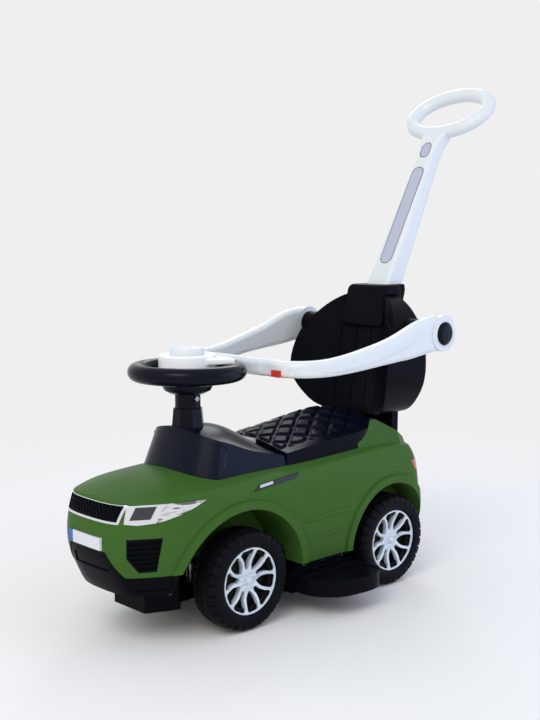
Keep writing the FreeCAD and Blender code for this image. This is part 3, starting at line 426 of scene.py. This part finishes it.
def trimMesh(corner):
    outline = bpy.data.curves.new("trimOutline", "CURVE")
    outline.dimensions = "2D"
    outline.fill_mode = "BOTH"
    outline.extrude = rimLook["depth"] / 2 - rimLook["roundOff"]
    outline.bevel_depth = rimLook["roundOff"]
    outline.bevel_resolution = 1
    outline.offset = -rimLook["roundOff"]
    outline.resolution_u = 6

    def loop(points):
        run = outline.splines.new("BEZIER")
        run.bezier_points.add(len(points) - 1)
        for knot, (angle, radius) in zip(run.bezier_points, points):
            turn = math.radians(angle)
            knot.co = (radius * math.sin(turn), -radius * math.cos(turn), 0)
            knot.handle_left_type = knot.handle_right_type = "AUTO"
        run.use_cyclic_u = True

    loop([(360 / rimLook["ringKnots"] * index, rimLook["ring"]) for index in range(rimLook["ringKnots"])])
    pitch = 360 / rimLook["pairs"]
    for index in range(rimLook["pairs"]):
        for rows, turn in ((rimLook["petal"], pitch * index), (rimLook["gap"], pitch * (index + 0.5))):
            centre = turn + rimLook["lead"]
            around = [(centre + angle, radius / perMetre) for angle, radius in rows]
            loop(around + [(centre - angle, radius / perMetre) for angle, radius in rows[-2:0:-1]])
    holder = bpy.data.objects.new("trimOutline", outline)
    mesh = bpy.data.meshes.new_from_object(holder)
    bpy.data.objects.remove(holder)
    work = bmesh.new()
    work.from_mesh(mesh)
    bmesh.ops.remove_doubles(work, verts=work.verts, dist=rimLook["weld"])
    for index in range(rimLook["pairs"]):
        turn = math.radians(pitch * index + rimLook["lead"] + pitch / 2)
        spot = Vector((rimLook["boltCircle"] * math.sin(turn), -rimLook["boltCircle"] * math.cos(turn), 0))
        spot.z = rimLook["depth"] / 2
        bolt = Matrix.Translation(spot) @ Matrix.Diagonal((1, 1, rimLook["boltFlat"], 1))
        bmesh.ops.create_uvsphere(
            work, u_segments=rimLook["boltAround"], v_segments=rimLook["boltRows"], radius=rimLook["bolt"], matrix=bolt,
        )
    # the flat trim is dished from hub to ring and stood up in its wheel
    centre, side = wheelPlace(corner)
    for vert in work.verts:
        across, up, out = vert.co
        reach = smooth(math.hypot(across, up), rimLook["hub"], rimLook["ring"])
        face = rimLook["hubFace"] + reach * (rimLook["ringFace"] - rimLook["hubFace"])
        x = face - rimLook["depth"] / 2 + out
        vert.co = centre + Vector((side * x, side * across, up))
    bmesh.ops.recalc_face_normals(work, faces=work.faces)
    work.to_mesh(mesh)
    work.free()
    return mesh


tyreSteps = tyreLook["lugs"] * tyreLook["stepsPerLug"]
for corner in ("front_left", "front_right", "rear_left", "rear_right"):
    label = corner.title().replace("_", "")
    trim = addPiece("spokeTrim" + label, trimMesh(corner), rimSilver, "wheel_" + corner, "turned")
    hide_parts("rim_" + corner)
    lathe("wheelCarrier" + label, carrierLoop, corner, carrierLook["steps"], carrierBlack)
    tyre = lathe("treadedTyre" + label, tyreLoop, corner, tyreSteps, rubber, treadShape)
    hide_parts("tyre_" + corner)
print("stage: wheels made")

# steel fittings
steelLook = {"colour": (0.28, 0.28, 0.30), "rough": 0.3, "metal": 1.0, "grain": 900.0, "grainStrength": 0.1}
dress(
    finish("zincSteel", steelLook)[0], "rear_axle", "kingpins", "floor_screws", "steering_shaft", "column_screw",
    "steering_crank", "tie_rod", *pair("stub_axle"),
)

# bright frame of the grille
grilleLook = {"colour": (0.78, 0.78, 0.82), "rough": 0.14, "metal": 1.0, "grain": 500.0, "grainStrength": 0.03}
dress(finish("brightTrim", grilleLook)[0], "grille_surround")

# headlamps: leaning dark lens in a bright frame, then a reflector with gold and dark streaks of painted reflection
lampLook = {
    "colour": (0.66, 0.67, 0.70), "rough": 0.16, "metal": 0.45, "coat": 1.0, "coatRough": 0.03,
    "lens": (0.012, 0.013, 0.02), "lean": 4.0, "lensFrom": 0.05, "lensTo": 0.30, "lensSoft": 0.012,
    "lensLow": 0.0075, "lensHigh": 0.0258, "lensSoftUp": 0.0008,
    "reflectionFrom": 0.38, "reflectionSoft": 0.03, "reflectionDetail": 2.0,
    "paintedReflections": (
        {
            "colour": (0.50, 0.36, 0.20), "share": 0.8, "scale": 95.0, "stretch": (1.0, 0.3, 2.4),
            "from": 0.52, "to": 0.6,
        },
        {
            "colour": (0.05, 0.05, 0.06), "share": 0.9, "scale": 60.0, "stretch": (1.0, 0.35, 2.2),
            "from": 0.55, "to": 0.6,
        },
    ),
}
for side, sign in sides:
    lampFinish, tree, shader = finish("headlamp" + side.title(), lampLook)
    low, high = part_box("headlamp_" + side)
    length = (high.x - low.x + high.y - low.y) * math.sqrt(0.5)
    inner = low.x if sign > 0 else high.x
    x, y, z = place(tree, (inner, low.y, low.z))
    out = calc(tree, "MULTIPLY", x, sign)
    along = calc(tree, "DIVIDE", calc(tree, "MULTIPLY", calc(tree, "ADD", out, y), math.sqrt(0.5)), length)
    along = calc(tree, "SUBTRACT", along, calc(tree, "MULTIPLY", z, lampLook["lean"]))
    lens = within(tree, along, lampLook["lensFrom"], lampLook["lensTo"], lampLook["lensSoft"])
    lensUp = within(tree, z, lampLook["lensLow"], lampLook["lensHigh"], lampLook["lensSoftUp"])
    behind = ramp(tree, along, lampLook["reflectionFrom"], lampLook["reflectionFrom"] + lampLook["reflectionSoft"])
    paint = lampLook["colour"]
    # gold and dark streaks painted into the reflector's colour: painted reflection
    for paintedReflection in lampLook["paintedReflections"]:
        cloud = noise(tree, paintedReflection["scale"], lampLook["reflectionDetail"], paintedReflection["stretch"])
        spread = calc(tree, "MULTIPLY", ramp(tree, cloud, paintedReflection["from"], paintedReflection["to"]), behind)
        paint = tint(tree, calc(tree, "MULTIPLY", spread, paintedReflection["share"]), paint, paintedReflection["colour"])
    paint = tint(tree, calc(tree, "MULTIPLY", lens, lensUp), paint, lampLook["lens"])
    tree.links.new(paint, shader.inputs["Base Color"])
    dress(lampFinish, "headlamp_" + side)

# side vents: dark strip with a plain silver patch at its front end
ventLook = {
    "colour": (0.012, 0.010, 0.012), "rough": 0.25, "specular": 0.3, "grain": 900.0, "grainStrength": 0.05,
    "patch": (0.55, 0.55, 0.58), "rise": 0.089, "from": 0.012, "to": 0.040, "soft": 0.001,
    "low": 0.0025, "high": 0.0068, "softUp": 0.0004,
}
ventFinish, tree, shader = finish("sideVent", ventLook)
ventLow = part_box("side_vent_left")[0]
y, z = place(tree, (0, ventLow.y, ventLow.z))[1:]
level = calc(tree, "SUBTRACT", z, calc(tree, "MULTIPLY", y, ventLook["rise"]))
patch = within(tree, y, ventLook["from"], ventLook["to"], ventLook["soft"])
patch = calc(tree, "MULTIPLY", patch, within(tree, level, ventLook["low"], ventLook["high"], ventLook["softUp"]))
tree.links.new(tint(tree, patch, ventLook["colour"], ventLook["patch"]), shader.inputs["Base Color"])
dress(ventFinish, *pair("side_vent"))

# tail lamps
tailLook = {"colour": (0.35, 0.012, 0.016), "rough": 0.15, "coat": 0.8, "grain": 500.0, "grainStrength": 0.03}
dress(finish("tailRed", tailLook)[0], *pair("tail_lamp"))

# release button with plain ribs
buttonLook = {
    "colour": (0.62, 0.03, 0.02), "rough": 0.3, "grain": 500.0, "grainStrength": 0.05,
    "ribPitch": 0.0045, "ribStrength": 0.6, "ribDepth": 0.0012,
}
buttonRed, tree, shader = finish("buttonRed", buttonLook)
x = place(tree, middle("release_button"))[0]
ribs = calc(tree, "SINE", calc(tree, "MULTIPLY", x, 2 * math.pi / buttonLook["ribPitch"]))
relief(tree, shader, ribs, buttonLook["ribStrength"], buttonLook["ribDepth"])
dress(buttonRed, "release_button")

# blank number plate with a blue end band
plateLook = {"colour": (0.66, 0.67, 0.71), "rough": 0.35, "band": (0.02, 0.12, 0.42), "bandWidth": 0.0105}
plate, tree, shader = finish("blankPlate", plateLook)
x = place(tree, (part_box("number_plate")[0].x + plateLook["bandWidth"], 0, 0))[0]
banded = tint(tree, calc(tree, "LESS_THAN", x, 0.0), plateLook["colour"], plateLook["band"])
tree.links.new(banded, shader.inputs["Base Color"])
dress(plate, "number_plate")

# blank inlays on the handle, each with a dark outline
inlayLook = {
    "colour": (0.44, 0.45, 0.56), "rough": 0.35, "grain": 500.0, "grainStrength": 0.04,
    "outline": (0.05, 0.05, 0.07), "outlineWidth": 0.0016, "outlineSoft": 0.0003, "lean": math.radians(62.7),
    "shapes": {"handle_decal": {"half": 0.101, "radius": 0.014}, "handle_badge": {"half": 0.016, "radius": 0.011}},
}
for node, shape in inlayLook["shapes"].items():
    inlay, tree, shader = finish("lilac" + node.title().replace("_", ""), inlayLook)
    x, y, z = place(tree, middle(node))
    alongY = calc(tree, "MULTIPLY", y, math.cos(inlayLook["lean"]))
    along = calc(tree, "ADD", alongY, calc(tree, "MULTIPLY", z, math.sin(inlayLook["lean"])))
    straight = shape["half"] - shape["radius"]
    over = calc(tree, "MAXIMUM", calc(tree, "SUBTRACT", calc(tree, "ABSOLUTE", along), straight), 0.0)
    edge = shape["radius"] - inlayLook["outlineWidth"]
    line = ramp(tree, distance(tree, over, x), edge, edge + inlayLook["outlineSoft"])
    tree.links.new(tint(tree, line, inlayLook["colour"], inlayLook["outline"]), shader.inputs["Base Color"])
    dress(inlay, node)
print("stage: finishes set")


# headrest and wheel pad with the soft edges of a blown moulding
def softened(name, node, look, material, body):
    item = addPiece(name, nodes[node].data.copy(), material, body, "soft")
    grid = item.modifiers.new("grid", "REMESH")
    grid.mode = "VOXEL"
    grid.voxel_size = look["voxel"]
    grid.use_smooth_shade = True
    ease = item.modifiers.new("ease", "SMOOTH")
    ease.factor = 0.5
    ease.iterations = look["rounds"]
    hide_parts(node)


headrestLook = {"voxel": 0.0025, "rounds": 14}
softened("headrestPad", "headrest", headrestLook, satinBlack, "car")
softened("steeringPad", "wheel_pad", padLook, padWhite, "steering")

# raised frame on both sides of the dash: edges are (y, z), across is (share of the width, height)
dashFrame = {
    "outer": (
        (-268, 306.5), (-256, 304.9), (-238.5, 301.8), (-230.4, 298), (-228, 292.5), (-228.6, 286), (-235, 268),
        (-240, 254),
    ),
    "inner": (
        (-268, 302.5), (-257, 300.6), (-250, 298.4), (-245.6, 296), (-244.4, 292), (-246, 286), (-252.6, 269),
        (-257, 254),
    ),
    "across": ((0.0, -0.4), (0.1, 1.5), (0.5, 1.7), (0.9, 1.5), (1.0, -0.4)), "rows": 40, "rayFrom": 0.2,
}
outer, inner = (smoothLine([(0, y, z) for y, z in dashFrame[edge]], dashFrame["rows"]) for edge in ("outer", "inner"))
for side, sign in sides:
    starts = []
    for edge, other in zip(outer, inner):
        spots = [(edge.lerp(other, share) / perMetre, height / perMetre) for share, height in dashFrame["across"]]
        starts.append([((sign * dashFrame["rayFrom"], spot.y, spot.z), height) for spot, height in spots])
    sheetOn("dashFrame" + side.title(), "dashboard_cowl", starts, (-sign, 0, 0), dashBlackBlueSheen, "car")

# guard: raised line along each arm as (y, z), lip round each knob, red edge and screw boss on the front bar
guardLook = {
    "line": ((-100, 408), (-68, 407.4), (-28, 413), (15, 420.4), (61, 432), (92, 442.5), (112, 452)),
    "lineRadius": 0.0009, "lip": 0.0212, "lipRadius": 0.0014, "lipKnots": 16, "sideRayFrom": 0.25,
    "redFrom": 0.056, "redTo": 0.128, "redHeight": 0.3995, "redRadius": 0.0006, "redKnots": 8,
    "boss": (0.124, 0.4078), "bossReach": 0.0052, "bossRadius": 0.0008, "bossKnots": 12, "frontRayFrom": -0.3,
}
knobMid = middle("guard_knobs")
for side, sign in sides:
    arm = "guard_" + side + "_arm"
    start = sign * guardLook["sideRayFrom"]
    armStarts = [(start, y / perMetre, z / perMetre) for y, z in guardLook["line"]]
    ribOn("armLine" + side.title(), arm, armStarts, (-sign, 0, 0), guardLook["lineRadius"], whitePlastic, "guard")
    lipSpots = ringSpots(guardLook["lipKnots"], guardLook["lip"])
    lipStarts = [(start, knobMid.y + along, knobMid.z + up) for along, up in lipSpots]
    ribOn("knobLip" + side.title(), arm, lipStarts, (-sign, 0, 0), guardLook["lipRadius"], whitePlastic, "guard",
          True)
start = guardLook["frontRayFrom"]
redStep = (guardLook["redTo"] - guardLook["redFrom"]) / (guardLook["redKnots"] - 1)
redSpots = [guardLook["redFrom"] + index * redStep for index in range(guardLook["redKnots"])]
redStarts = [(x, start, guardLook["redHeight"]) for x in redSpots]
ribOn("barRedEdge", "guard_left_arm", redStarts, (0, 1, 0), guardLook["redRadius"], buttonRed, "guard")
bossX, bossZ = guardLook["boss"]
bossSpots = ringSpots(guardLook["bossKnots"], guardLook["bossReach"])
bossStarts = [(bossX + across, start, bossZ + up) for across, up in bossSpots]
ribOn("barScrewBoss", "guard_left_arm", bossStarts, (0, 1, 0), guardLook["bossRadius"], whitePlastic, "guard",
      True)

# black dome under the steering wheel, profile of (radius, height)
hubDome = {"profile": ((20.7, 373), (29, 374.5), (37, 379), (41, 386), (42, 401), (20.7, 401)), "steps": 48}
hubMid = middle("steering_shaft")
verts, faces = [], []
count = len(hubDome["profile"])
for step, (across, along) in enumerate(ringSpots(hubDome["steps"], 1.0)):
    after = (step + 1) % hubDome["steps"]
    for index, (radius, height) in enumerate(hubDome["profile"]):
        follow = (index + 1) % count
        reach = radius / perMetre
        verts.append((hubMid.x + reach * across, hubMid.y + reach * along, height / perMetre))
        faces.append((step * count + index, after * count + index, after * count + follow, step * count + follow))
meshPiece("steeringHub", verts, faces, glossBlack, "steering", "turned")

# welt lines on the bolsters of the back as (x, z)
weltLook = {
    "line": (
        (62, 471), (79.7, 460.6), (90, 445.5), (98, 426.8), (104, 390), (102.6, 350), (97.3, 333), (87.7, 322),
        (76, 313.5),
    ),
    "radius": 0.0008, "rayFrom": -0.1,
}
for side, sign in sides:
    starts = [(sign * x / perMetre, weltLook["rayFrom"], z / perMetre) for x, z in weltLook["line"]]
    ribOn("bolsterWelt" + side.title(), "backrest_front", starts, (0, 1, 0), weltLook["radius"], glossBlack, "car")
print("stage: details added")

# floor and sky: the far floor fades into the pale backdrop, the near floor keeps the shadow
stageLook = {
    "floor": (0.825, 0.805, 0.775), "rough": 0.9, "specular": 0.1, "size": 60.0, "fadeFrom": 0.75, "fadeTo": 1.7,
    "pale": (0.863, 0.863, 0.863), "sky": (0.74, 0.82, 0.95), "skyFrom": 0.5, "skyTo": 0.9, "skyStrength": 1.0,
}
bpy.ops.mesh.primitive_plane_add(size=stageLook["size"], location=(0, 0, 0))
floor = bpy.context.object
floor.name = "floor"
floorPaint = bpy.data.materials.new("floorPale")
floorPaint.use_nodes = True
tree = floorPaint.node_tree
matt = tree.nodes["Principled BSDF"]
matt.inputs["Base Color"].default_value = (*stageLook["floor"], 1.0)
matt.inputs["Roughness"].default_value = stageLook["rough"]
matt.inputs["Specular IOR Level"].default_value = stageLook["specular"]
x, y = place(tree)[:2]
fade = ramp(tree, distance(tree, x, y), stageLook["fadeFrom"], stageLook["fadeTo"])
path = tree.nodes.new("ShaderNodeLightPath")
seen = calc(tree, "MAXIMUM", path.outputs["Is Camera Ray"], path.outputs["Is Glossy Ray"])
seen = calc(tree, "MAXIMUM", seen, path.outputs["Is Transmission Ray"])
backdrop = tree.nodes.new("ShaderNodeEmission")
backdrop.inputs["Color"].default_value = (*stageLook["pale"], 1.0)
joined = tree.nodes.new("ShaderNodeMixShader")
tree.links.new(calc(tree, "MULTIPLY", fade, seen), joined.inputs[0])
tree.links.new(matt.outputs[0], joined.inputs[1])
tree.links.new(backdrop.outputs[0], joined.inputs[2])
tree.links.new(joined.outputs[0], tree.nodes["Material Output"].inputs["Surface"])
floor.data.materials.append(floorPaint)

scene.view_settings.view_transform = "Standard"
world = bpy.data.worlds.new("studio")
scene.world = world
world.use_nodes = True
tree = world.node_tree
source = tree.nodes.new("ShaderNodeTexCoord")
split = tree.nodes.new("ShaderNodeSeparateXYZ")
tree.links.new(source.outputs["Generated"], split.inputs[0])
rise = ramp(tree, split.outputs["Z"], stageLook["skyFrom"], stageLook["skyTo"])
sky = tint(tree, rise, stageLook["pale"], stageLook["sky"])
tree.links.new(sky, tree.nodes["Background"].inputs["Color"])
tree.nodes["Background"].inputs["Strength"].default_value = stageLook["skyStrength"]


def pointed(holder, look):
    # puts a lamp or camera in its spot and turns it to its aim
    scene.collection.objects.link(holder)
    holder.location = look["spot"]
    aim = Vector(look["aim"]) - Vector(look["spot"])
    holder.rotation_euler = aim.to_track_quat("-Z", "Y").to_euler()


# soft lamps
lampLooks = {
    "keyLamp": {
        "spot": (1.2, -2.4, 2.6), "aim": (0, 0, 0.35), "power": 44.0, "size": 1.8, "colour": (1.0, 0.99, 0.97),
    },
    "rimLamp": {
        "spot": (-1.8, 1.8, 2.2), "aim": (0, 0, 0.4), "power": 16.0, "size": 1.2, "colour": (0.92, 0.96, 1.0),
    },
    "blueFill": {
        "spot": (1.4, 1.25, 0.65), "aim": (0, 0, 0.3), "power": 8.0, "size": 1.3, "colour": (0.28, 0.46, 1.0),
    },
}
for name, look in lampLooks.items():
    lamp = bpy.data.lights.new(name, "AREA")
    lamp.energy = look["power"]
    lamp.size = look["size"]
    lamp.color = look["colour"]
    pointed(bpy.data.objects.new(name, lamp), look)

# camera solved from the photo
cameraLook = {
    "spot": (1.3542, -1.3353, 0.6254), "aim": (0, -0.06357, 0.2912), "lens": 54.7, "sensor": 36.0,
    "shift": (-0.0049, 0.0968),
}
eye = bpy.data.cameras.new("camera")
eye.lens = cameraLook["lens"]
eye.sensor_width = cameraLook["sensor"]
eye.shift_x, eye.shift_y = cameraLook["shift"]
holder = bpy.data.objects.new("camera", eye)
pointed(holder, cameraLook)
scene.camera = holder
print("stage: studio ready")
